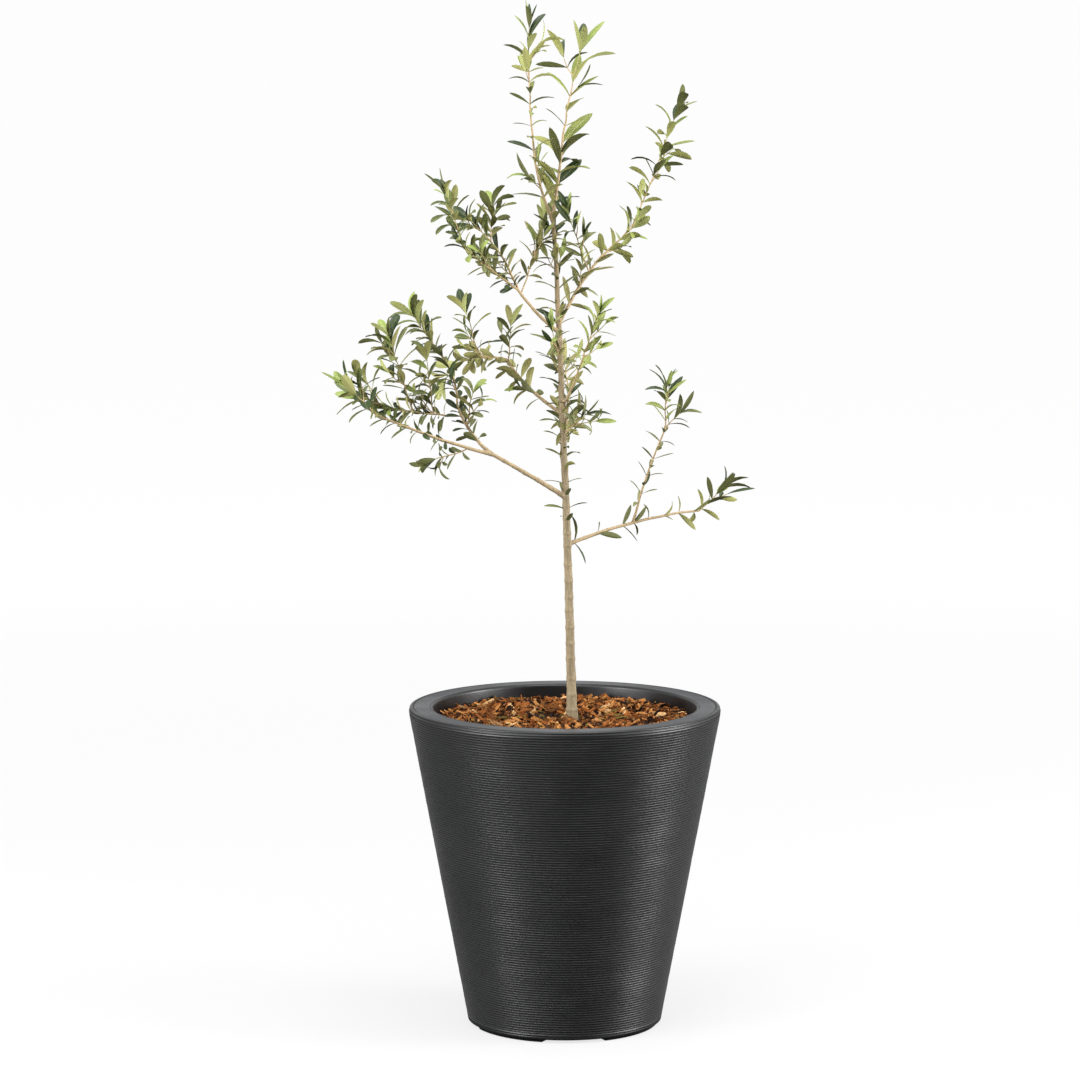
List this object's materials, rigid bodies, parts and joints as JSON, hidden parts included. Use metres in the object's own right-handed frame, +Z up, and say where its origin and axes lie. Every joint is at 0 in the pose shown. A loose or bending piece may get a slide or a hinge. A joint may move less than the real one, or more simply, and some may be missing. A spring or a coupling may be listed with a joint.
{
  "type": "potted olive tree",
  "caption": "Young olive tree with a slim trunk and open, airy boughs, standing in a tapered round planter with fine ribs and a bark mulch top.",
  "frame": {"origin": "middle of the planter's flat underside", "axes": "+Z up along the planter's axis, +X to the right of the front view, +Y to the back"},
  "size_m": [0.658, 0.508, 1.6553],
  "materials": {
    "planter_plastic": "charcoal moulded plastic with fine horizontal ribs, satin",
    "potting_soil": "dark moist potting soil, crumbly",
    "bark_mulch": "shredded red-brown bark chips",
    "olive_bark": "smooth grey-green to tan bark of a young olive",
    "olive_leaf": "narrow leathery leaves, dark green above and pale sage below"
  },
  "bodies": {
    "root": {"planter": "planter_plastic", "soil": "potting_soil", "mulch": "bark_mulch", "trunk": "olive_bark", "right_leader": "olive_bark", "left_leader": "olive_bark", "low_right_bough": "olive_bark", "low_right_shoot": "olive_bark", "low_left_bough": "olive_bark", "low_left_outer_bough": "olive_bark", "low_left_inner_bough": "olive_bark", "middle_left_bough": "olive_bark", "upper_left_bough": "olive_bark", "upper_right_bough": "olive_bark", "middle_right_bough": "olive_bark", "back_bough": "olive_bark", "back_foliage": "olive_leaf", "back_top": "olive_leaf", "left_leader_foliage": "olive_leaf", "left_leader_top": "olive_leaf", "low_left_drooping": "olive_leaf", "low_left_inner_foliage": "olive_leaf", "low_left_inner_shoot": "olive_leaf", "low_left_middle": "olive_leaf", "low_left_middle_top": "olive_leaf", "low_left_outer_foliage": "olive_leaf", "low_left_outer_shoot": "olive_leaf", "low_left_outer_top": "olive_leaf", "low_left_riser": "olive_leaf", "low_left_riser_top": "olive_leaf", "low_left_side_shoot": "olive_leaf", "low_right_foliage": "olive_leaf", "low_right_shoot_foliage": "olive_leaf", "low_right_shoot_side": "olive_leaf", "low_right_shoot_top": "olive_leaf", "low_right_top": "olive_leaf", "middle_left_end": "olive_leaf", "middle_left_foliage": "olive_leaf", "middle_left_inner_shoot": "olive_leaf", "middle_left_outer": "olive_leaf", "middle_left_outer_shoot": "olive_leaf", "middle_left_shoot": "olive_leaf", "middle_right_top": "olive_leaf", "right_leader_foliage": "olive_leaf", "right_leader_top": "olive_leaf", "trunk_low_foliage": "olive_leaf", "trunk_middle_foliage": "olive_leaf", "trunk_side_shoot": "olive_leaf", "trunk_top_foliage": "olive_leaf", "upper_left_back": "olive_leaf", "upper_left_inner": "olive_leaf", "upper_left_inner_top": "olive_leaf", "upper_left_outer": "olive_leaf", "upper_left_outer_top": "olive_leaf", "upper_left_upright": "olive_leaf", "upper_right_inner": "olive_leaf", "upper_right_low_foliage": "olive_leaf", "upper_right_middle": "olive_leaf", "upper_right_top": "olive_leaf"}
  },
  "joints": []
}
